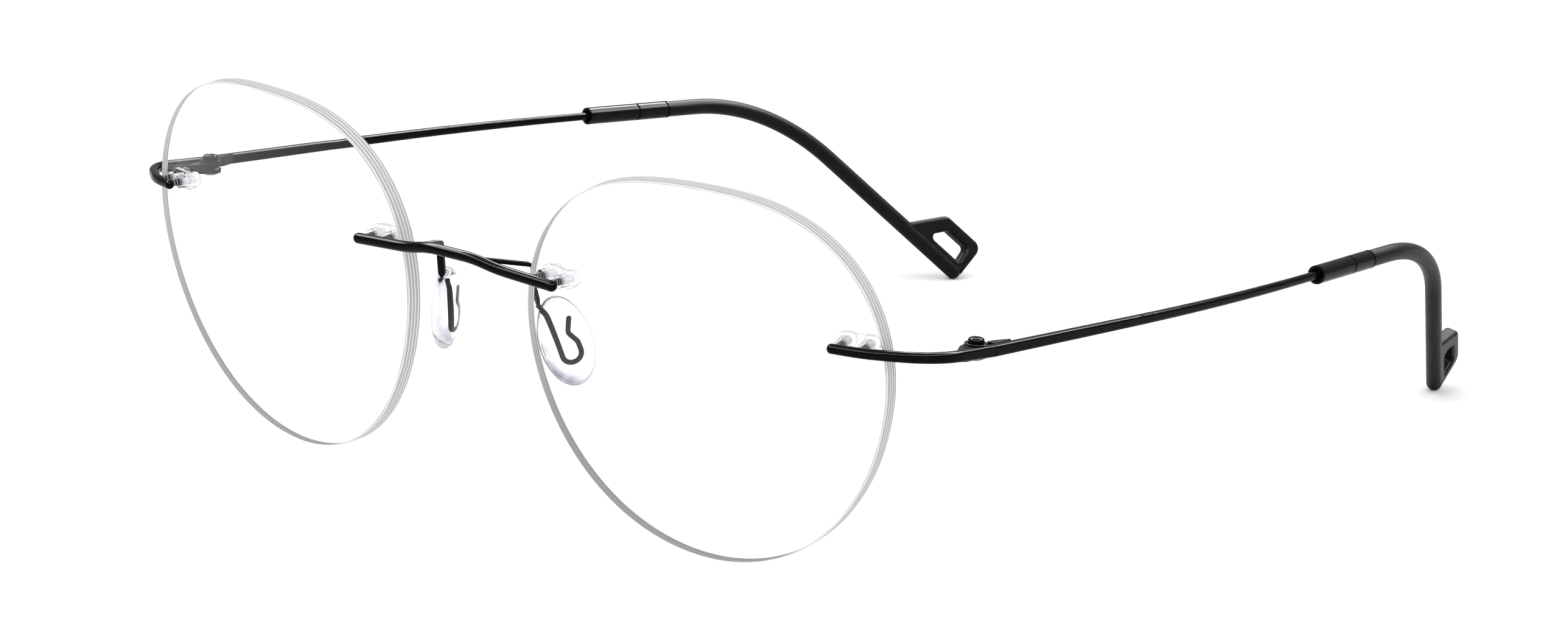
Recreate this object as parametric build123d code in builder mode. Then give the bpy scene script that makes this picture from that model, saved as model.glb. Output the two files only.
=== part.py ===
from build123d import *
import os
from math import cos, radians, sin, tan

os.makedirs("parts", exist_ok=True)

# Rimless drill-mounted spectacles, standing open on a table. Millimetres.
# The front faces -Y, +Z is up and +X is the wearer's left.
# The origin lies on the table, under the middle of the whole object.
# Every piece is drawn for the wearer's left and mirrored for the right.

# --- Lenses -----------------------------------------------------------------
eye_radius = 23.5  # mean radius of a lens outline, for a 49 mm eye size
eye_width_swell = 0.04  # how much wider than tall the outline is
eye_brow_drop = 0.036  # flatter brow, deeper cheek
eye_corner_swell = 0.011
eye_temporal_lift = 0.005
lens_thickness = 1.9
lens_bevel = 0.2
base_curve = 106.0  # radius of the lens's front face
wrap_angle = 6.8
lean_angle = 9.2  # pantoscopic: the brow leans forward
lens_centre_x = 33.65
lens_centre_z = 22.83
lens_plane_y = -69.22
outline_steps = 24  # points on the outline's spline
blank_depth = 16.0  # of the straight-sided blank that the curves are cut from
drill_overrun = 1.0

# --- Mounting holes, posts and compression sleeves ---------------------------
hole_radius = 0.78
hole_pitch = 2.75
nasal_pair_u, nasal_pair_v = -20.45, 7.1
temporal_pair_u, temporal_pair_v = 20.35, 6.35
nasal_pair_run = (1, 0.045, -0.05)
temporal_pair_run = (1, 0.32, -0.02)
post_radius = 0.42
post_ring_depth = 0.08
post_ring_width = 0.12
post_ring_pitch = 0.36
post_ring_start = 0.11  # below the lens's front face
post_reach = 1.0  # how far a post goes on behind the lens
bar_standoff = 1.35  # axis of a bar, ahead of the lens
sleeve_radius = 0.75
sleeve_wall_gap = 0.02
sleeve_flange_gap = 0.05
sleeve_flange_thickness = 0.8
sleeve_flange_width = 2.1
sleeve_flange_length = 5.4
sleeve_flange_rounding = 0.3
sleeve_plug_radius = 0.95
sleeve_plug_length = 0.8
sleeve_plug_rounding = 0.45

# --- Bridge and end pieces ----------------------------------------------------
bridge_radius = 0.65
bridge_overhang = 1.95  # from the middle of a pair of posts to the bar's end
bridge_arch_bend = 14.0
bridge_dip_bend = 18.0
round_share = 0.49  # corner radius over width, for a section that is almost round
endpiece_overhang = 2.35
endpiece_straight = 1.9  # from the middle of the posts to the outer bend's corner
endpiece_bends = (12.0, 8.0)
endpiece_start = 1.14  # width and height of the bar's round end
endpiece_rounding = 0.52
bar_turn_behind, bar_turn_height = 5.0, 28.75
bar_height = 1.32
bar_width = 1.08
bar_corner = 0.3
hinge_bar_x = 62.6
seam_height = 28.3

# --- Hinges -------------------------------------------------------------------
hinge_axis_x = 60.9
hinge_axis_behind = 14.0
seam_behind = 14.85
seam_gap = 0.1
leaf_top = 29.0
temple_leaf_bottom = 27.75
leaf_sunk = 0.05  # how far a leaf's outline reaches into its bar
knuckle_radius = 1.3
upper_knuckle = 0.45
lower_knuckle = 0.46
temple_knuckle = 0.45
temple_knuckle_radius = 1.05
knuckle_web_start = 0.3
knuckle_web_width = 0.7
knuckle_web_length = 1.9
knuckle_slot_radius = 1.35
boss_height = 0.3
boss_end_radius = 0.75
washer_thickness = 0.08
hinge_play = 0.03
screw_radius = 0.42
screw_head_radius = 0.93
screw_head_height = 0.62
screw_head_rounding = 0.36
screw_slot_width = 0.24
screw_slot_depth = 0.24
screw_slot_angle = 25
screw_end_recess = 0.05
fixed_bore = 0.44
running_bore = 0.47

# --- Temples and tips ---------------------------------------------------------
temple_end_size = 0.96
temple_bend_radius = 320.0
straight_before_tip = 21.3
core_length = 17.0  # temple wire inside the tip
tip_radius = 1.07
collar_radius = 1.16
collar_length = 14.2
collar_rings = (8.4, 13.6)  # ring grooves, from the collar's mouth
collar_ring_width = 0.3
collar_ring_depth = 0.14
collar_mouth_radius = 0.85
collar_mouth_depth = 0.9
core_bore = 0.56
core_end_gap = 0.1
tip_bend_radius = 33.0
loop_thickness = 1.9
loop_rounding = 0.5
loop_corner = 1.3
loop_hole_corner = 0.55

# --- Nose pads ----------------------------------------------------------------
pad_length = 11.0
pad_width = 6.6
pad_thickness = 3.4
pad_rounding = 1.4
pad_splay = 60.0  # of the pad's normal, from straight ahead
pad_frontal_lean = 14.0
pad_rear_lean = 16.0
arm_heading = 65.2  # of the arm's plan, from the X axis
arm_width = 0.85
arm_thickness = 0.45
arm_bend = 0.8
arm_point_length = 0.75
hook_radius = 0.29
hook_bends = (2, 1.05, 1.05, 1, 0.6)


def at(x, behind, z):
    """Point given by its distance behind the lens plane."""
    return Vector(x, lens_plane_y + behind, z)


def square_to(path, position):
    """Plane square to a path, with its X level."""
    tangent = path % position
    return Plane(path @ position, x_dir=tangent.cross(Vector(0, 0, 1)), z_dir=tangent)


def save(piece, name):
    piece.part.label = name
    export_step(piece.part, f"parts/{name}.step")


def save_both_sides(left, name):
    """Write the wearer's left piece and its mirror image."""
    with BuildPart() as right:
        mirror(left.part, about=Plane.YZ)
    save(left, f"{name}_left")
    save(right, f"{name}_right")


# The lens's edge plane: X to the temple, Y up, Z out to the front.
wrap = radians(wrap_angle)
lean = radians(lean_angle)
lens_plane = Plane(
    origin=at(lens_centre_x, 0, lens_centre_z),
    x_dir=(cos(wrap), sin(wrap), 0),
    z_dir=(sin(wrap) * cos(lean), -cos(wrap) * cos(lean), -sin(lean)),
)
lens_bulge = eye_radius**2 / (2 * base_curve)
curve_plane = lens_plane.offset(lens_bulge - base_curve)


def outline_point(angle):
    """Point of the soft round outline, by its angle from the temple side."""
    radius = eye_radius * (
        1
        + eye_width_swell * cos(2 * angle)
        + eye_temporal_lift * sin(2 * angle)
        + eye_brow_drop * sin(3 * angle)
        - eye_corner_swell * cos(4 * angle)
    )
    return (radius * cos(angle), radius * sin(angle))


def drill_plane(u, v, along):
    """Plane on the lens's front face, facing out, with X towards `along`."""
    height = lens_bulge - (u**2 + v**2) / (2 * base_curve)
    outward = (lens_plane.from_local_coords((u, v, height)) - curve_plane.origin).normalized()
    point = curve_plane.origin + outward * base_curve
    return Plane(point, x_dir=along - outward * along.dot(outward), z_dir=outward)


nasal_pair = drill_plane(nasal_pair_u, nasal_pair_v, Vector(*nasal_pair_run))
temporal_pair = drill_plane(temporal_pair_u, temporal_pair_v, Vector(*temporal_pair_run))

# --- Lens ---------------------------------------------------------------------
outline_points = [outline_point(radians(360 / outline_steps * step)) for step in range(outline_steps)]
poles_level = (90, 0, 0)  # keeps the spheres' poles and seams off the lens

with BuildPart() as lens:
    with BuildSketch(lens_plane.offset(-blank_depth / 2)):
        with BuildLine():
            Spline(*outline_points, periodic=True)
        make_face()
    extrude(amount=blank_depth)
    with Locations(curve_plane):
        Sphere(base_curve, rotation=poles_level, mode=Mode.INTERSECT)
        Sphere(base_curve - lens_thickness, rotation=poles_level, mode=Mode.SUBTRACT)
    rim_edges = lens.edges().filter_by(lambda edge: edge.length > 2 * eye_radius)
    chamfer(rim_edges, length=lens_bevel)
    for pair in (nasal_pair, temporal_pair):
        with BuildSketch(pair.offset(drill_overrun)):
            with GridLocations(hole_pitch, 1, 2, 1):
                Circle(hole_radius)
        extrude(amount=-lens_thickness - 2 * drill_overrun, mode=Mode.SUBTRACT)

# --- Bridge bar ---------------------------------------------------------------
bridge_end = nasal_pair.from_local_coords((bridge_overhang, 0, bar_standoff))
bridge_arch = at(3.66, -5.9, 30.66)
bridge_dip = at(6.96, -5.55, 29.97)
mirrored = [Vector(-p.X, p.Y, p.Z) for p in (bridge_end, bridge_dip, bridge_arch)]

with BuildPart() as bridge_bar:
    with BuildLine() as bridge_path:
        FilletPolyline(
            *mirrored,
            bridge_arch,
            bridge_dip,
            bridge_end,
            radius=[bridge_dip_bend, bridge_arch_bend, bridge_arch_bend, bridge_dip_bend],
        )
    with BuildSketch(square_to(bridge_path.line, 0)):
        Circle(bridge_radius)
    sweep()
    with Locations(bridge_path.line @ 0, bridge_path.line @ 1):
        Sphere(bridge_radius)

# --- End piece: round over the lens, flat at the hinge --------------------------
endpiece_end = temporal_pair.from_local_coords((-endpiece_overhang, 0, bar_standoff))
endpiece_path_points = [
    endpiece_end,
    temporal_pair.from_local_coords((endpiece_straight, 0, bar_standoff)),
    at(hinge_bar_x, bar_turn_behind, bar_turn_height),
    at(hinge_bar_x, seam_behind, seam_height),
]

with BuildPart() as endpiece:
    with BuildLine() as endpiece_path:
        FilletPolyline(*endpiece_path_points, radius=endpiece_bends)
    with BuildSketch(square_to(endpiece_path.line, 0)) as round_end:
        RectangleRounded(endpiece_start, endpiece_start, round_share * endpiece_start)
    with BuildSketch(square_to(endpiece_path.line, 1)) as flat_end:
        RectangleRounded(bar_width, bar_height, bar_corner)
    sweep(sections=[round_end.sketch, flat_end.sketch], path=endpiece_path.line, multisection=True)
    end_face = endpiece.faces().sort_by_distance(endpiece_end)[0]
    fillet(end_face.edges(), radius=endpiece_rounding)

# --- Posts: ringed pins from a bar through the lens ------------------------------
post_length = bar_standoff + lens_thickness + post_reach
post_rings = int((post_length - bar_standoff) / post_ring_pitch)


def make_posts(pair, bar):
    """Two ringed posts, seated against the back of a bar."""
    with BuildPart() as posts:
        with BuildSketch(pair.offset(bar_standoff)):
            with GridLocations(hole_pitch, 1, 2, 1):
                Circle(post_radius)
        extrude(amount=-post_length)
        for ring in range(post_rings):
            with BuildSketch(pair.offset(-post_ring_start - post_ring_pitch * ring)):
                with GridLocations(hole_pitch, 1, 2, 1):
                    Circle(post_radius)
                    Circle(post_radius - post_ring_depth, mode=Mode.SUBTRACT)
            extrude(amount=-post_ring_width, mode=Mode.SUBTRACT)
        add(bar.part, mode=Mode.SUBTRACT)
    return posts


bridge_posts = make_posts(nasal_pair, bridge_bar)
endpiece_posts = make_posts(temporal_pair, endpiece)


# --- Compression sleeves: two plugs joined by a web behind the lens --------------
def make_sleeve(pair):
    flange_top = -lens_thickness - sleeve_flange_gap
    with BuildPart() as sleeve:
        with BuildSketch(pair.offset(flange_top)):
            SlotOverall(sleeve_flange_length, sleeve_flange_width)
        extrude(amount=-sleeve_flange_thickness)
        flange_back = sleeve.faces().sort_by(Axis(pair.origin, pair.z_dir))[0]
        fillet(flange_back.edges(), radius=sleeve_flange_rounding)
        with BuildSketch(pair.offset(flange_top - sleeve_flange_thickness)):
            with GridLocations(hole_pitch, 1, 2, 1):
                Circle(sleeve_plug_radius)
        extrude(amount=-sleeve_plug_length)
        plug_ends = sleeve.faces().sort_by(Axis(pair.origin, pair.z_dir))[:2]
        fillet(plug_ends.edges(), radius=sleeve_plug_rounding)
        with BuildSketch(pair):
            with GridLocations(hole_pitch, 1, 2, 1):
                Circle(sleeve_radius)
        extrude(amount=flange_top)
        with BuildSketch(pair):
            with GridLocations(hole_pitch, 1, 2, 1):
                Circle(post_radius + sleeve_wall_gap)
        extrude(amount=-lens_thickness - post_reach - sleeve_wall_gap, mode=Mode.SUBTRACT)
    return sleeve


bridge_sleeve = make_sleeve(nasal_pair)
endpiece_sleeve = make_sleeve(temporal_pair)

# --- Pad arm: a strip bent on the flat, cut to a point ----------------------------
arm_root = at(5.0, -5.3, 0)
arm_plan = Vector(cos(radians(arm_heading)), sin(radians(arm_heading)), 0)
arm_plane = Plane(arm_root, x_dir=arm_plan, z_dir=arm_plan.cross(Vector(0, 0, 1)))
arm_points = [(0, 30.65), (5.7, 29.85), (7.1, 25.2)]

with BuildPart() as pad_arm:
    with BuildSketch(arm_plane):
        with BuildLine():
            FilletPolyline(*arm_points, radius=arm_bend)
        trace(line_width=arm_thickness)
    extrude(amount=arm_width / 2, both=True)
    arm_drop = (Vector(*arm_points[2]) - Vector(*arm_points[1])).normalized()
    arm_tip = arm_plane.from_local_coords(arm_points[2])
    arm_down = arm_plan * arm_drop.X + Vector(0, 0, arm_drop.Y)
    point_plane = Plane(arm_tip, x_dir=arm_plane.z_dir, z_dir=arm_plane.z_dir.cross(arm_down))
    with BuildSketch(point_plane):
        for side in (-1, 1):
            with BuildLine():
                Polyline(
                    (0, 0),
                    (side * arm_width, -2 * arm_point_length),
                    (side * arm_width, arm_thickness),
                    (0, arm_thickness),
                    close=True,
                )
            make_face()
    extrude(amount=2 * arm_thickness, both=True, mode=Mode.SUBTRACT)
    add(bridge_bar.part, mode=Mode.SUBTRACT)

# --- Nose pad with its moulded-in hook wire ---------------------------------------
pad_up = Vector(-tan(radians(pad_frontal_lean)), -tan(radians(pad_rear_lean)), 1).normalized()
pad_facing = Vector(sin(radians(pad_splay)), -cos(radians(pad_splay)), 0)
pad_normal = (pad_facing - pad_up * pad_facing.dot(pad_up)).normalized()
hook_plane = Plane(at(9.7, 4.65, 21.4), x_dir=pad_up.cross(pad_normal), z_dir=pad_normal)
pad_centre = hook_plane.from_local_coords((-0.7, -0.25, 0.5))
pad_plane = Plane(pad_centre, x_dir=hook_plane.x_dir, z_dir=pad_normal)
hook_points = [
    (-2.3, 4.75),
    (-1.65, 3.3),
    (-1.55, -2.95),
    (0.65, -2.95),
    (0.6, -0.85),
    (-0.15, 0.5),
    (0.45, 2.0),
]

with BuildPart() as pad_hook:
    with BuildLine(hook_plane) as hook_path:
        FilletPolyline(*hook_points, radius=hook_bends)
    with BuildSketch(square_to(hook_path.line, 0)):
        Circle(hook_radius)
    sweep()
    with Locations(hook_path.line @ 1):
        Sphere(hook_radius)
    add(pad_arm.part, mode=Mode.SUBTRACT)

with BuildPart() as nose_pad:
    with BuildSketch(pad_plane):
        Ellipse(pad_width / 2, pad_length / 2)
    extrude(amount=pad_thickness / 2, both=True)
    fillet(nose_pad.faces().filter_by(pad_plane).edges(), radius=pad_rounding)
    add(pad_hook.part, mode=Mode.SUBTRACT)

# --- Hinge: front leaf, washers, temple leaf and screw ------------------------------
hinge_axis = at(hinge_axis_x, hinge_axis_behind, 0)
upper_bottom = leaf_top - upper_knuckle
upper_washer_bottom = upper_bottom - washer_thickness
temple_knuckle_top = upper_washer_bottom - hinge_play
temple_knuckle_bottom = temple_knuckle_top - temple_knuckle
lower_washer_top = temple_knuckle_bottom - hinge_play
lower_top = lower_washer_top - washer_thickness
lower_bottom = lower_top - lower_knuckle


def over_hinge(height):
    """Level plane centred on the hinge axis."""
    return Plane((hinge_axis.X, hinge_axis.Y, height))


# Plans are drawn round the hinge axis; the bar's inner face is at bar_face.
bar_face = hinge_bar_x - bar_width / 2 - hinge_axis_x
front_leaf_plan = [
    (bar_face + leaf_sunk, 0),
    (-knuckle_radius, 0),
    (-knuckle_radius, -0.5),
    (-0.95, -1.7),
    (0.2, -3.6),
    (0.45, -5.8),
    (bar_face - 1.9, -8.2),
    (bar_face - 1.45, -8.2),
    (bar_face - 0.4, -6.0),
    (bar_face + leaf_sunk, -3.4),
]
front_leaf_side = [
    (-8.2, 28.1),
    (-3.0, 27.5),
    (knuckle_radius, 27.5),
    (knuckle_radius, 28.75),
    (-3.0, 28.65),
    (-8.2, 28.95),
]
temple_leaf_plan = [
    (0.3, 1.6),
    (bar_face + 0.1, 1.6),
    (bar_face + 0.1, 4.6),
    (bar_face - 0.1, 4.6),
    (0.45, 2.7),
]

with BuildPart() as hinge_front_leaf:
    with BuildSketch(over_hinge(0)):
        with BuildLine():
            Polyline(*front_leaf_plan, close=True)
        make_face()
    extrude(amount=2 * leaf_top)
    with BuildSketch(Plane(over_hinge(0).origin, x_dir=(0, 1, 0), z_dir=(1, 0, 0))):
        with BuildLine():
            Polyline(*front_leaf_side, close=True)
        make_face()
    extrude(amount=2 * knuckle_radius, both=True, mode=Mode.INTERSECT)
    with BuildSketch(over_hinge(lower_bottom)):
        Circle(knuckle_radius)
    extrude(amount=leaf_top - lower_bottom)
    with BuildSketch(over_hinge(lower_bottom)):
        Circle(knuckle_radius)
    with BuildSketch(over_hinge(lower_bottom - boss_height)):
        Circle(boss_end_radius)
    loft()
    with BuildSketch(over_hinge(lower_top)):
        Circle(knuckle_slot_radius)
    extrude(amount=upper_bottom - lower_top, mode=Mode.SUBTRACT)
    with BuildSketch(over_hinge(leaf_top)):
        Circle(fixed_bore)
    extrude(amount=-2 * (leaf_top - lower_bottom), mode=Mode.SUBTRACT)
    add(endpiece.part, mode=Mode.SUBTRACT)

with BuildPart() as hinge_washers:
    for level in (upper_washer_bottom, lower_top):
        with BuildSketch(over_hinge(level)):
            Circle(temple_knuckle_radius)
            Circle(fixed_bore, mode=Mode.SUBTRACT)
        extrude(amount=washer_thickness)

screw_length = leaf_top - lower_bottom + boss_height - screw_end_recess

with BuildPart() as hinge_screw:
    with BuildSketch(over_hinge(leaf_top)):
        Circle(screw_head_radius)
    extrude(amount=screw_head_height)
    fillet(hinge_screw.faces().sort_by(Axis.Z)[-1].edges(), radius=screw_head_rounding)
    with BuildSketch(over_hinge(leaf_top + screw_head_height)):
        Rectangle(2 * screw_head_radius, screw_slot_width, rotation=screw_slot_angle)
    extrude(amount=-screw_slot_depth, mode=Mode.SUBTRACT)
    with BuildSketch(over_hinge(leaf_top)):
        Circle(screw_radius)
    extrude(amount=-screw_length)

# --- Temple: flat at the hinge, round where it enters the tip ------------------------
temple_start = at(hinge_bar_x, seam_behind + seam_gap, seam_height)
temple_curve = at(hinge_bar_x, 60.5, 27.62)
tip_bend = at(55.65, 113.8, 26.6)
leg_end = at(41.1, 140.4, 1.07)
rear_run = (tip_bend - temple_curve).normalized()
collar_mouth = temple_curve + rear_run * straight_before_tip
core_end = collar_mouth + rear_run * core_length

with BuildPart() as temple:
    with BuildLine() as temple_path:
        FilletPolyline(temple_start, temple_curve, core_end, radius=temple_bend_radius)
    with BuildSketch(square_to(temple_path.line, 0)) as temple_front:
        RectangleRounded(bar_width, bar_height, bar_corner)
    with BuildSketch(square_to(temple_path.line, 1)) as temple_rear:
        RectangleRounded(temple_end_size, temple_end_size, round_share * temple_end_size)
    sweep(sections=[temple_front.sketch, temple_rear.sketch], path=temple_path.line, multisection=True)

with BuildPart() as hinge_temple_leaf:
    with BuildSketch(over_hinge(temple_leaf_bottom)):
        with BuildLine():
            Polyline(*temple_leaf_plan, close=True)
        make_face()
    extrude(amount=leaf_top - temple_leaf_bottom)
    with BuildSketch(over_hinge(temple_knuckle_bottom)):
        Circle(temple_knuckle_radius)
        with Locations((knuckle_web_start, 0)):
            Rectangle(knuckle_web_width, knuckle_web_length, align=Align.MIN)
    extrude(amount=temple_knuckle)
    with BuildSketch(over_hinge(temple_knuckle_top)):
        Circle(running_bore)
    extrude(amount=-temple_knuckle, mode=Mode.SUBTRACT)
    add(temple.part, mode=Mode.SUBTRACT)

# --- Temple tip: collar, bent tube and an open loop at the end ------------------------
leg_up = (tip_bend - leg_end).normalized()
loop_out = (Vector(0, 1, 1) - leg_up * Vector(0, 1, 1).dot(leg_up)).normalized()
loop_plane = Plane(leg_end, x_dir=loop_out, z_dir=loop_out.cross(leg_up))
loop_outline = [(0, -0.2), (0.3, -1.05), (5.65, -1.75), (5.65, 5.75), (0.9, 10.4), (0, 10.4)]
loop_hole = [(1.4, 0.4), (3.95, 0.3), (3.95, 4.35), (1.4, 6.75)]

collar_plane = Plane(collar_mouth, z_dir=rear_run)

with BuildPart() as tip_loop:
    with BuildSketch(loop_plane) as loop_profile:
        with BuildLine():
            Polyline(*loop_outline, close=True)
        make_face()
        fillet(loop_profile.vertices().sort_by(Axis.X)[-2:], radius=loop_corner)
    extrude(amount=loop_thickness / 2, both=True)
    with BuildSketch(loop_plane) as hole_profile:
        with BuildLine():
            Polyline(*loop_hole, close=True)
        make_face()
        fillet(hole_profile.vertices(), radius=loop_hole_corner)
    extrude(amount=loop_thickness, both=True, mode=Mode.SUBTRACT)
    fillet(tip_loop.faces().filter_by(loop_plane).edges(), radius=loop_rounding)

with BuildPart() as temple_tip:
    with BuildLine() as tip_path:
        FilletPolyline(collar_mouth, tip_bend, leg_end, radius=tip_bend_radius)
    with BuildSketch(square_to(tip_path.line, 0)):
        Circle(tip_radius)
    sweep()
    with Locations(leg_end):
        Sphere(tip_radius)
    with BuildSketch(collar_plane):
        Circle(collar_radius)
    extrude(amount=collar_length)
    for ring in collar_rings:
        with BuildSketch(collar_plane.offset(ring)):
            Circle(collar_radius)
            Circle(collar_radius - collar_ring_depth, mode=Mode.SUBTRACT)
        extrude(amount=collar_ring_width, mode=Mode.SUBTRACT)
    add(tip_loop.part)
    with BuildSketch(collar_plane):
        Circle(collar_mouth_radius)
    extrude(amount=collar_mouth_depth, mode=Mode.SUBTRACT)
    with BuildSketch(collar_plane):
        Circle(core_bore)
    extrude(amount=core_length + core_end_gap, mode=Mode.SUBTRACT)

save_both_sides(lens, "lens")
save(bridge_bar, "bridge_bar")
save_both_sides(bridge_posts, "bridge_posts")
save_both_sides(endpiece_posts, "endpiece_posts")
save_both_sides(bridge_sleeve, "bridge_sleeve")
save_both_sides(endpiece_sleeve, "endpiece_sleeve")
save_both_sides(pad_arm, "pad_arm")
save_both_sides(pad_hook, "pad_hook")
save_both_sides(nose_pad, "nose_pad")
save_both_sides(endpiece, "endpiece")
save_both_sides(hinge_front_leaf, "hinge_front_leaf")
save_both_sides(hinge_washers, "hinge_washers")
save_both_sides(hinge_screw, "hinge_screw")
save_both_sides(hinge_temple_leaf, "hinge_temple_leaf")
save_both_sides(temple, "temple")
save_both_sides(temple_tip, "temple_tip")
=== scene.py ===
import math

import bmesh
import bpy
from mathutils import Matrix, Vector


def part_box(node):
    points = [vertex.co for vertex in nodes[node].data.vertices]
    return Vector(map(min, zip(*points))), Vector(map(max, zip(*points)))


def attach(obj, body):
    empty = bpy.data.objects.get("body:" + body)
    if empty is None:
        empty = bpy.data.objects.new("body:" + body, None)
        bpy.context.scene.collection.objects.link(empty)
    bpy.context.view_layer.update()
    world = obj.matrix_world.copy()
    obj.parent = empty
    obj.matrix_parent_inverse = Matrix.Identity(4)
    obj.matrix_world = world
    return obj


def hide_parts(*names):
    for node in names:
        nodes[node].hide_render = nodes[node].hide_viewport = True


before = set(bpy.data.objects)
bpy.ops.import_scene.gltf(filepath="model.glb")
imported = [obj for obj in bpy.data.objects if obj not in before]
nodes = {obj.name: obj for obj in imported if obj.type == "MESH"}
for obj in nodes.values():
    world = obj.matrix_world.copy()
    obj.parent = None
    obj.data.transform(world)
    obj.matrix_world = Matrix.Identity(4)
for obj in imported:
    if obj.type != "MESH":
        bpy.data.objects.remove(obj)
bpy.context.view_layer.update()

scene = bpy.context.scene
MM = 0.001

sides = (("left", 1), ("right", -1))  # the wearer's, with the sign of X

# --- The left lens's own frame, for the finish of its edge and posts -------------
lens_centre = Vector((33.65, -69.22, 22.83)) * MM
front_curve = 106.0 * MM  # radius of the lens's front face
eye_radius = 23.5 * MM
wrap, lean = math.radians(6.8), math.radians(9.2)
# Painted reflection lines run round the ground edge at this pitch, wavering by this much.
edge_line_pitch = 0.44 * MM
edge_line_waver = 0.4 * edge_line_pitch
rim_shade_heights = (8 * MM, 34 * MM)  # painted shade: the ground edge's inner side is darker low down, as the light comes from above
narrowest_rim = 5 * MM  # an island of faces taller than this is the rim, not a bore
face_alignment = 0.9  # cosine to the front curve's radius, above which it is a front or back

# --- Posts and tips ----------------------------------------------------------------
post_ring_pitch = 0.36 * MM
painted_veil_depth = 1.7 * MM  # from the lens's front face to where a post is painted pale, painted light for the sleeve seen over it
tip_collar_length = 14.1 * MM
tip_collar_fade = 0.1 * MM  # over which the collar's gloss turns satin

# --- The left nose pad's own frame and shape ---------------------------------------
hook_place = Vector((9.7, -64.57, 21.4)) * MM
pad_offset = Vector((-0.7, -0.25, 0.5)) * MM
pad_half_width, pad_half_length, pad_half_thickness = 3.27 * MM, 5.47 * MM, 1.66 * MM
pad_frontal_lean, pad_rear_lean, pad_splay = (math.radians(v) for v in (14, 16, 60))
pad_rings, pad_spokes = 14, 48
pad_taper = 0.05  # the upper end is narrower by twice this share
pad_roundness = 3.2  # power of the crown: the higher, the flatter the middle
pad_back_crown = 0.92  # height of the back over the front's
pad_front_dish = 0.1  # the front's middle is lower by this share of the half thickness


# --- Node trees ----------------------------------------------------------------
def opaque(colour):
    """The colour with an alpha of 1, as a colour socket wants it."""
    return (*colour, 1)


class Graph:
    """A node tree, with helpers that add its steps and hand back their output sockets."""

    def __init__(self, tree):
        self.tree = tree
        self.coordinates = self.add("ShaderNodeTexCoord")

    def add(self, kind, **settings):
        node = self.tree.nodes.new(kind)
        for key, value in settings.items():
            setattr(node, key, value)
        return node

    def link(self, source, target):
        self.tree.links.new(source, target)

    def feed(self, sockets, *values):
        """Give input sockets their values in order, each another socket or a constant."""
        for socket, value in zip(sockets, values):
            if isinstance(value, bpy.types.NodeSocket):
                self.link(value, socket)
            else:
                socket.default_value = value

    def maths(self, operation, *values):
        node = self.add("ShaderNodeMath", operation=operation)
        self.feed(node.inputs, *values)
        return node.outputs[0]

    def times(self, *values):
        """Product of two or more values."""
        product = values[0]
        for value in values[1:]:
            product = self.maths("MULTIPLY", product, value)
        return product

    def vector(self, operation, *values, output=0):
        node = self.add("ShaderNodeVectorMath", operation=operation)
        self.feed(node.inputs, *values)
        return node.outputs[output]

    def axis(self, source, letter):
        node = self.add("ShaderNodeSeparateXYZ")
        self.link(source, node.inputs[0])
        return node.outputs[letter]

    def span(self, value, low, high, to_low, to_high, smooth=False):
        """Carry the values between two levels over to two others."""
        node = self.add("ShaderNodeMapRange")
        if smooth:
            node.interpolation_type = "SMOOTHSTEP"
        self.feed(node.inputs, value, low, high, to_low, to_high)
        return node.outputs[0]

    def ramp(self, value, stops):
        """Colour that runs through pairs of a position and a colour."""
        node = self.add("ShaderNodeValToRGB")
        while len(node.color_ramp.elements) < len(stops):
            node.color_ramp.elements.new(0.5)
        for element, (position, colour) in zip(node.color_ramp.elements, stops):
            element.position = position
            element.color = opaque(colour)
        self.link(value, node.inputs["Fac"])
        return node.outputs["Color"]

    def mix(self, share, first, second, data_type="RGBA", blend_type="MIX"):
        """First where the share is 0; second, or the two blended, where it is 1."""
        node = self.add("ShaderNodeMix", data_type=data_type, blend_type=blend_type)
        self.feed([socket for socket in node.inputs if socket.enabled], share, first, second)
        return [socket for socket in node.outputs if socket.enabled][0]


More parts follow.
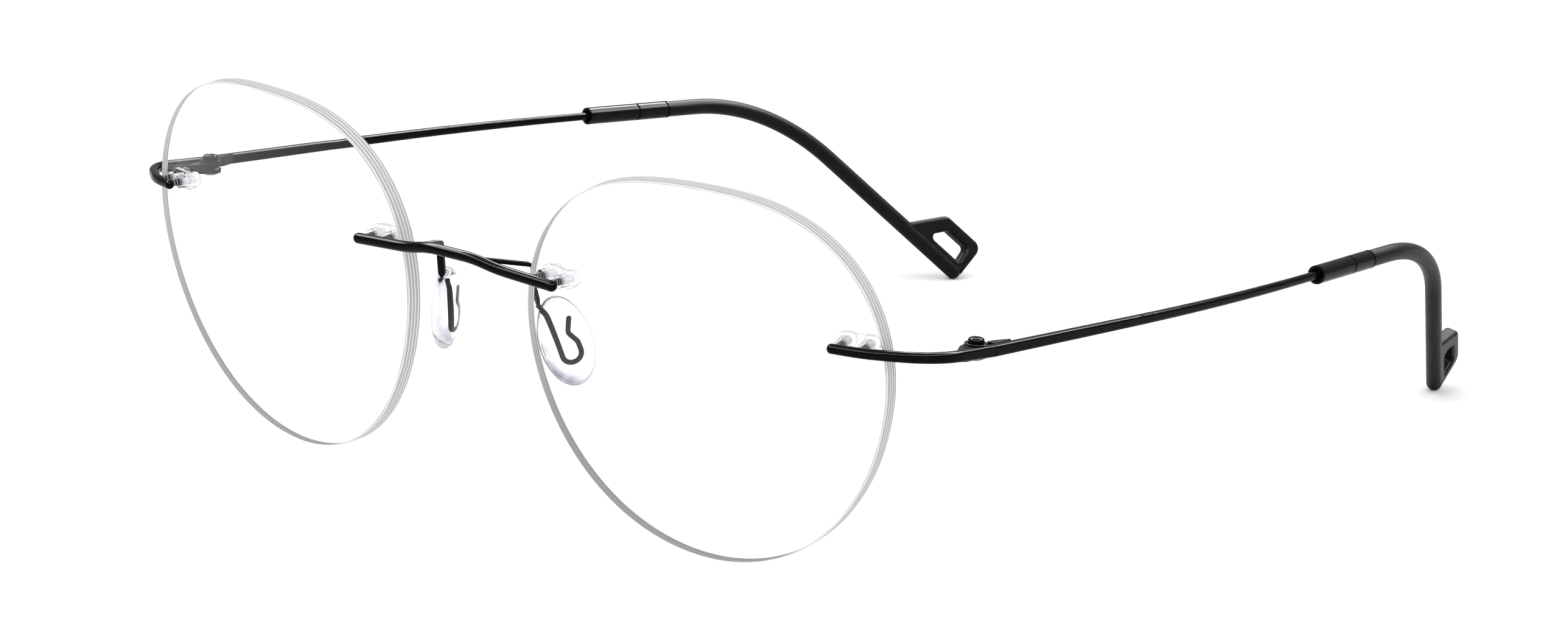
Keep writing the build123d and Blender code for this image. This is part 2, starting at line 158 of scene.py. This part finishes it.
class Surface(Graph):
    """A Principled material, whose steps read places on the object in metres."""

    def __init__(self, name, **constants):
        self.material = bpy.data.materials.new(name)
        self.material.use_nodes = True
        super().__init__(self.material.node_tree)
        self.shader = self.tree.nodes["Principled BSDF"]
        for socket, value in constants.items():
            self.shader.inputs[socket.replace("_", " ")].default_value = value
        self.place = self.coordinates.outputs["Object"]

    def drive(self, socket, source):
        self.link(source, self.shader.inputs[socket])

    def noise(self, scale, detail=4.0, roughness=0.6, stretch=(1, 1, 1)):
        """Patches of 0 to 1, with about this many to the metre."""
        mapping = self.add("ShaderNodeMapping")
        mapping.inputs["Scale"].default_value = stretch
        self.link(self.place, mapping.inputs["Vector"])
        texture = self.add("ShaderNodeTexNoise")
        texture.inputs["Scale"].default_value = scale
        texture.inputs["Detail"].default_value = detail
        texture.inputs["Roughness"].default_value = roughness
        self.link(mapping.outputs["Vector"], texture.inputs["Vector"])
        return texture.outputs["Fac"]

    def stripes(self, distance, pitch):
        """0 to 1 and back, once for every pitch of distance."""
        phase = self.maths("MULTIPLY", distance, 2 * math.pi / pitch)
        return self.span(self.maths("SINE", phase), -1, 1, 0, 1)

    def edge_on(self, start=0.55, end=0.95):
        """0 where the surface faces the eye, rising to 1 at its outline."""
        facing = self.add("ShaderNodeLayerWeight").outputs["Facing"]
        return self.span(facing, start, end, 0, 1, smooth=True)

    def vary_roughness(self, scale, low, high):
        """Roughness that wanders in patches between two levels."""
        self.drive("Roughness", self.span(self.noise(scale), 0.3, 0.7, low, high))

    def bump(self, height, strength, distance, edge_radius=0):
        """Relief from a height, on edges softened to a radius if one is given."""
        node = self.add("ShaderNodeBump")
        node.inputs["Strength"].default_value = strength
        node.inputs["Distance"].default_value = distance
        self.link(height, node.inputs["Height"])
        if edge_radius:
            bevel = self.add("ShaderNodeBevel", samples=8)
            bevel.inputs["Radius"].default_value = edge_radius
            self.link(bevel.outputs[0], node.inputs["Normal"])
        self.link(node.outputs["Normal"], self.shader.inputs["Normal"])


# --- Materials -----------------------------------------------------------------
def grey(level, tint=(1, 1, 1)):
    return tuple(level * channel for channel in tint)


def lacquer(name, level, roughness, edge_radius=0, **constants):
    """Black coat over metal, with a faint orange peel and fine dust."""
    dusty = level * 1.8
    peel_depth = 0.02 * MM
    look = Surface(name, **{"IOR": 1.4, **constants})
    look.drive("Base Color", look.ramp(look.noise(900), [(0.35, grey(level)), (0.8, grey(dusty))]))
    look.vary_roughness(420, *roughness)
    look.bump(look.noise(1600, detail=2), 0.1, peel_depth, edge_radius)
    return look.material


def curve_centre(side):
    """Centre of a lens's front curve, for the wearer's left (1) or right (-1)."""
    outward = Vector((
        side * math.sin(wrap) * math.cos(lean),
        -math.cos(wrap) * math.cos(lean),
        -math.sin(lean),
    ))
    centre = Vector((side * lens_centre.x, lens_centre.y, lens_centre.z))
    bulge = eye_radius**2 / (2 * front_curve)  # of the front face, ahead of the rim
    return centre + outward * (bulge - front_curve)


def lens_depth(surface, place, side):
    """How far behind the lens's front face a point lies."""
    distance = surface.vector("DISTANCE", place, tuple(curve_centre(side)), output="Value")
    return surface.maths("SUBTRACT", front_curve, distance)


def ringed_post():
    """Black pin with turned rings; its tail is painted pale, painted light for the clear sleeve that
    wraps it.
    """
    look = Surface("post_black", IOR=1.4, Specular_IOR_Level=0.1)
    # Both sides share the material, so the place is mirrored to the left lens.
    x, y, z = (look.axis(look.place, letter) for letter in "XYZ")
    mirrored = look.add("ShaderNodeCombineXYZ")
    look.feed(mirrored.inputs, look.maths("ABSOLUTE", x), y, z)
    depth = lens_depth(look, mirrored.outputs[0], 1)
    rings = look.ramp(look.stripes(depth, post_ring_pitch), [(0.55, grey(0.006)), (0.9, grey(0.3))])
    # Painted light: the tail pales with depth, for the clear sleeve seen over it.
    painted_veil = look.span(depth, 0, painted_veil_depth, 0, 1, smooth=True)
    look.drive("Base Color", look.mix(painted_veil, rings, opaque((0.86, 0.86, 0.88))))
    look.vary_roughness(420, 0.2, 0.32)
    return look.material


def ground_edge(name, side):
    """Satin edge of a cut lens, with fine bright lines painted round it for its internal reflections,
    and painted shade low on its inner side.
    """
    look = Surface(name, Specular_IOR_Level=0.0)
    waver = look.times(look.maths("SUBTRACT", look.noise(240, detail=2), 0.5), edge_line_waver)
    depth = look.maths("ADD", lens_depth(look, look.place, side), waver)
    # Painted reflection: the lightest stop draws the bright lines of the edge's internal reflections.
    lines = look.ramp(look.stripes(depth, edge_line_pitch), [
        (0.0, grey(0.4, (1, 1, 1.03))),
        (0.55, grey(0.45, (1, 1, 1.03))),
        (0.78, grey(0.51, (1, 1, 1.02))),
        (0.96, grey(0.76)),
    ])
    # Painted shade on the edge's inner side: darker low down, where the light comes from above.
    inner_side = look.add("ShaderNodeNewGeometry").outputs["Backfacing"]
    shade = look.span(look.axis(look.place, "Z"), *rim_shade_heights, 0.55, 0.92, smooth=True)
    look.drive("Base Color", look.mix(inner_side, lines, shade, blend_type="MULTIPLY"))
    look.vary_roughness(700, 0.35, 0.55)
    return look.material


def clear(name, tint, ior, roughness, edge_shade=0.55, edge_start=0.55):
    """Clear moulded plastic, with painted shade that greys it a little where it is seen edge-on."""
    look = Surface(name, IOR=ior, Transmission_Weight=1.0)
    clearer = tuple(min(1, channel * 1.03) for channel in tint)
    outline = tuple(channel * edge_shade for channel in tint)
    body = look.ramp(look.noise(160), [(0.3, tint), (0.8, clearer)])
    # Painted shade: the outline greys where the surface is seen edge-on.
    look.drive("Base Color", look.mix(look.edge_on(edge_start), body, opaque(outline)))
    look.vary_roughness(300, *roughness)
    return look.material


def nylon():
    """Pale matt washers."""
    look = Surface("washer_nylon")
    look.drive("Base Color", look.ramp(look.noise(800), [(0.3, grey(0.5)), (0.7, grey(0.62))]))
    look.vary_roughness(500, 0.35, 0.5)
    return look.material


def tip_plastic():
    """Black plastic: a glossy collar, then a satin tube and loop."""
    grain_depth = 0.03 * MM
    look = Surface("tip_black", IOR=1.45, Specular_IOR_Level=0.06)
    collar_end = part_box("temple_tip_left")[0][1] + tip_collar_length
    satin = look.span(look.axis(look.place, "Y"), collar_end - tip_collar_fade, collar_end, 0, 1)
    bluish = grey(0.009, (1, 1, 1.08))
    look.drive("Base Color", look.ramp(look.noise(700), [(0.3, grey(0.004)), (0.8, bluish)]))
    look.drive("Roughness", look.span(satin, 0, 1, 0.14, 0.36))
    look.bump(look.noise(2600, detail=3), 0.12, grain_depth)
    return look.material


black_wire = lacquer(
    "black_lacquer", level=0.002, roughness=(0.1, 0.17), Specular_IOR_Level=0.06
)
hinge_black = lacquer(
    "hinge_black", level=0.003, roughness=(0.1, 0.2), edge_radius=0.12 * MM,
    IOR=1.5, Specular_IOR_Level=0.1,
)
screw_black = lacquer(
    "screw_black", level=0.002, roughness=(0.1, 0.18), edge_radius=0.05 * MM,
    Specular_IOR_Level=0.07,
)
hook_wire = lacquer(
    "hook_wire", level=0.014, roughness=(0.3, 0.42), Specular_IOR_Level=0.07
)
post_black = ringed_post()
sleeve = clear(
    "sleeve_plastic", tint=(0.9, 0.9, 0.91), ior=1.02, roughness=(0.01, 0.04),
    edge_shade=0.45, edge_start=0.35,
)

finishes = {
    "bridge_bar": black_wire,
    "endpiece": black_wire,
    "temple": black_wire,
    "pad_arm": black_wire,
    "hinge_front_leaf": hinge_black,
    "hinge_temple_leaf": hinge_black,
    "bridge_posts": post_black,
    "endpiece_posts": post_black,
    "bridge_sleeve": sleeve,
    "endpiece_sleeve": sleeve,
    "pad_hook": hook_wire,
    "hinge_washers": nylon(),
    "hinge_screw": screw_black,
    "temple_tip": tip_plastic(),
}


def let_light_through(piece):
    """Clear plastic here casts no shadow and blocks no soft light."""
    piece.visible_shadow = False
    piece.visible_diffuse = False


for name, node in nodes.items():
    kind = name.removesuffix("_left").removesuffix("_right")
    if kind in finishes:
        node.data.materials.clear()
        node.data.materials.append(finishes[kind])
    if kind.endswith("sleeve"):
        let_light_through(node)


# --- Lenses: the CAD lens, with its own finish on the faces, edge and bores ----------
def islands(mesh):
    """Polygons grouped by the vertices they share."""
    group = list(range(len(mesh.vertices)))

    def root(index):
        while group[index] != index:
            group[index] = group[group[index]]
            index = group[index]
        return index

    for polygon in mesh.polygons:
        first = root(polygon.vertices[0])
        for index in polygon.vertices[1:]:
            group[root(index)] = first
    found = {}
    for polygon in mesh.polygons:
        found.setdefault(root(polygon.vertices[0]), []).append(polygon)
    return found.values()


def make_lens(name, side):
    """Clear lens: a polished front and back, a ground edge and polished bores."""
    node = nodes[f"lens_{name}"]
    mesh = node.data.copy()
    mesh.materials.clear()
    for material in (lens_face, ground_edge(f"ground_edge_{name}", side), lens_bore):
        mesh.materials.append(material)
    face_slot, edge_slot, bore_slot = range(3)
    centre = curve_centre(side)
    for polygons in islands(mesh):
        first = polygons[0]
        along_curve = (first.center - centre).normalized()
        heights = [polygon.center.z for polygon in polygons]
        if abs(along_curve.dot(first.normal)) > face_alignment:
            slot = face_slot
        elif max(heights) - min(heights) > narrowest_rim:
            slot = edge_slot
        else:
            slot = bore_slot
        for polygon in polygons:
            polygon.material_index = slot
    lens = bpy.data.objects.new(f"clear_lens_{name}", mesh)
    scene.collection.objects.link(lens)
    lens.matrix_world = node.matrix_world
    let_light_through(lens)
    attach(lens, "front")
    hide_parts(f"lens_{name}")


lens_face = clear(
    "lens_plastic", tint=(0.975, 0.975, 0.98), ior=1.2, roughness=(0.0, 0.003), edge_shade=1.0
)
lens_bore = clear(
    "lens_bore", tint=(0.94, 0.945, 0.95), ior=1.0, roughness=(0.0, 0.02), edge_shade=0.8
)
for name, side in sides:
    make_lens(name, side)


# --- Nose pads -------------------------------------------------------------------
def pad_frame(side):
    """Matrix from a pad's own axes to the row frame, for the wearer's left or right.

    A pad's own axes are across it, up along it, and out of the face that the nose doesn't touch.
    """
    up = Vector((-math.tan(pad_frontal_lean), -math.tan(pad_rear_lean), 1)).normalized()
    facing = Vector((math.sin(pad_splay), -math.cos(pad_splay), 0))
    normal = (facing - up * facing.dot(up)).normalized()
    across = up.cross(normal)
    turn = Matrix((across, up, normal)).transposed().to_4x4()
    place = Matrix.Translation(hook_place) @ turn @ Matrix.Translation(pad_offset)
    return Matrix.Diagonal((side, 1, 1, 1)) @ place


def make_pad(name, side):
    """Soft clear pad: an egg outline, crowned on both sides, with a rolled edge."""
    shell = bmesh.new()
    to_row = pad_frame(side)

    def point(share, spoke, front):
        """A point some share of the way out along a spoke, on the front or the back."""
        angle = 2 * math.pi * spoke / pad_spokes
        x, y = math.cos(angle), math.sin(angle)
        narrow = 1 - pad_taper * (1 + y)
        crown = (1 - share**pad_roundness) ** 0.5
        height = crown - pad_front_dish * (1 - share**2) if front else -pad_back_crown * crown
        return to_row @ Vector((
            pad_half_width * share * x * narrow,
            pad_half_length * share * y,
            pad_half_thickness * height,
        ))

    for front in (True, False):
        centre = shell.verts.new(point(0, 0, front))
        layers = []
        for ring in range(1, pad_rings + 1):
            share = math.sin(0.5 * math.pi * ring / pad_rings)
            layers.append([shell.verts.new(point(share, spoke, front)) for spoke in range(pad_spokes)])
        for spoke in range(pad_spokes):
            after = (spoke + 1) % pad_spokes
            shell.faces.new((centre, layers[0][spoke], layers[0][after]))
            for inner, outer in zip(layers, layers[1:]):
                shell.faces.new((inner[spoke], outer[spoke], outer[after], inner[after]))
    weld = 0.002 * MM
    bmesh.ops.remove_doubles(shell, verts=shell.verts, dist=weld)
    bmesh.ops.recalc_face_normals(shell, faces=shell.faces)
    mesh = bpy.data.meshes.new(name)
    shell.to_mesh(mesh)
    shell.free()
    for face in mesh.polygons:
        face.use_smooth = True
    pad = bpy.data.objects.new(name, mesh)
    scene.collection.objects.link(pad)
    let_light_through(pad)
    return pad


def silicone(name, side):
    """Clear silicone, with painted lilac-grey shade gathered in its thick rim, in patches in its
    middle and along its outline.
    """
    clear_core, shaded_core = opaque((0.985, 0.985, 0.99)), opaque((0.76, 0.76, 0.82))
    painted_rim_shade, painted_lip_shade = opaque((0.36, 0.36, 0.46)), opaque((0.46, 0.46, 0.54))
    painted_outline_shade = opaque((0.6, 0.6, 0.67))
    ripple_depth = 0.06 * MM
    look = Surface(name, IOR=1.22, Transmission_Weight=1.0)
    inverse = pad_frame(side).inverted()

    def share_along(row, half):
        """Place along one of the pad's own axes: -1 at one end of it, 1 at the other."""
        weights = Vector(inverse[row][:3]) / half
        level = look.vector("DOT_PRODUCT", look.place, tuple(weights), output="Value")
        return look.maths("ADD", level, inverse[row][3] / half)

    across, up = share_along(0, pad_half_width), share_along(1, pad_half_length)
    squares = [look.maths("POWER", share, 2.0) for share in (across, up)]
    reach = look.maths("SQRT", look.maths("ADD", *squares))  # 0 in the middle, 1 at the outline

    # Painted shade: lilac-grey in the thick rim, gathered low and towards the forward edge, in
    # patches.
    rim = look.span(reach, 0.66, 0.82, 0, 1, smooth=True)
    low = look.span(up, 0.6, -0.4, 0.15, 1, smooth=True)
    forward = look.span(across, 0.3, -0.45, 0.1, 1, smooth=True)
    patches = look.span(look.noise(330, detail=2), 0.38, 0.5, 0.15, 1, smooth=True)
    # Painted shade: random lilac-grey patches in the pad's middle.
    core_shade = look.span(look.noise(210, detail=3), 0.5, 0.7, 0, 1, smooth=True)
    core = look.mix(core_shade, clear_core, shaded_core)
    body = look.mix(look.times(rim, low, forward, patches), core, painted_rim_shade)

    # Painted shade: a streaky lilac-grey ring along the outline, and more where the pad is seen
    # edge-on.
    lip = look.span(reach, 0.88, 0.97, 0, 1, smooth=True)
    streaky = look.noise(420, detail=3, stretch=(1, 1, 0.4))
    streaks = look.span(streaky, 0.35, 0.6, 0.2, 1, smooth=True)
    lipped = look.mix(look.times(lip, streaks), body, painted_lip_shade)
    look.drive("Base Color", look.mix(look.edge_on(0.6), lipped, painted_outline_shade))
    look.vary_roughness(300, 0.02, 0.07)
    look.bump(look.noise(420, detail=2), 0.12, ripple_depth)
    return look.material


for name, side in sides:
    pad = make_pad(f"silicone_pad_{name}", side)
    pad.data.materials.append(silicone(f"pad_silicone_{name}", side))
    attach(pad, "front")
    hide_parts(f"nose_pad_{name}")

# --- Studio ----------------------------------------------------------------------
floor_half = 3.0
corners = [(x * floor_half, y * floor_half, 0) for x, y in ((-1, -1), (1, -1), (1, 1), (-1, 1))]
floor_mesh = bpy.data.meshes.new("floor")
floor_mesh.from_pydata(corners, [], [(0, 1, 2, 3)])
floor = bpy.data.objects.new("floor", floor_mesh)
scene.collection.objects.link(floor)
paper = Surface("white_paper", Roughness=0.9, IOR=1.1)
paper_shades = [(0.2, (0.93, 0.93, 0.935)), (0.8, (0.95, 0.95, 0.955))]
paper.drive("Base Color", paper.ramp(paper.noise(60), paper_shades))
floor.data.materials.append(paper.material)

# The studio around it: white to the eye, with dark walls and a narrow bright
# ring of light above them for the gloss to reflect.
plain_level = 1.08
gloss_stops = [(-0.3, 0.2), (0.0, 0.01), (0.54, 0.01), (0.635, 1.0), (0.69, 1.0), (0.78, 0.04)]
gloss_scale = 42.0
through_stops = [(0.25, 1.0), (0.6, 0.78)]
world = bpy.data.worlds.new("studio")
scene.world = world
world.use_nodes = True
studio = Graph(world.node_tree)
background = studio.tree.nodes["Background"]
background.inputs["Color"].default_value = (1, 1, 1, 1)
ray_kinds = studio.add("ShaderNodeLightPath").outputs


def studio_level(stops, scale=1.0):
    """Brightness by how high a direction points: -1 straight down, 1 straight up."""
    rise = studio.axis(studio.coordinates.outputs["Generated"], "Z")
    greys = [((height + 1) / 2, grey(level)) for height, level in stops]
    return studio.times(studio.ramp(studio.span(rise, -1, 1, 0, 1), greys), scale)


def choose(ray, yes, no):
    """Strength for one kind of ray, and another for the rest."""
    return studio.mix(ray_kinds[ray], no, yes, data_type="FLOAT")


glossy_or_plain = choose("Is Glossy Ray", studio_level(gloss_stops, gloss_scale), plain_level)
strength = choose("Is Transmission Ray", studio_level(through_stops), glossy_or_plain)
studio.link(strength, background.inputs["Strength"])


def softbox(name, location, target, size, watts):
    """Rectangular soft light, turned to face a target."""
    light = bpy.data.lights.new(name, "AREA")
    light.shape = "RECTANGLE"
    light.size, light.size_y = size
    light.energy = watts
    box = bpy.data.objects.new(name, light)
    scene.collection.objects.link(box)
    box.location = location
    towards = Vector(target) - Vector(location)
    box.rotation_euler = towards.to_track_quat("-Z", "Y").to_euler()


softbox("overhead", location=(0.05, -0.1, 0.9), target=(0, 0, 0), size=(0.9, 0.5), watts=2.0)

# --- Camera, fitted to the photograph -----------------------------------------------
azimuth, elevation, roll = (math.radians(v) for v in (39.3, 13.14, 3.18))
distance = 0.5959
aim = Vector((0.00263, -0.00922, 0.01321))
back = Vector((
    math.sin(azimuth) * math.cos(elevation),
    -math.cos(azimuth) * math.cos(elevation),
    math.sin(elevation),
))
sideways = Vector((math.cos(azimuth), math.sin(azimuth), 0))
above = back.cross(sideways)
right = sideways * math.cos(roll) + above * math.sin(roll)
up = above * math.cos(roll) - sideways * math.sin(roll)
camera_data = bpy.data.cameras.new("camera")
camera_data.lens = 109.47
camera_data.sensor_width = 36
camera_data.shift_x = -0.0300
camera_data.shift_y = 0.0048
camera_data.clip_start = 0.01
camera = bpy.data.objects.new("camera", camera_data)
scene.collection.objects.link(camera)
turn = Matrix((right, up, back)).transposed().to_4x4()
camera.matrix_world = Matrix.Translation(aim + back * distance) @ turn
scene.camera = camera
scene.view_settings.view_transform = "Standard"
scene.view_settings.look = "None"
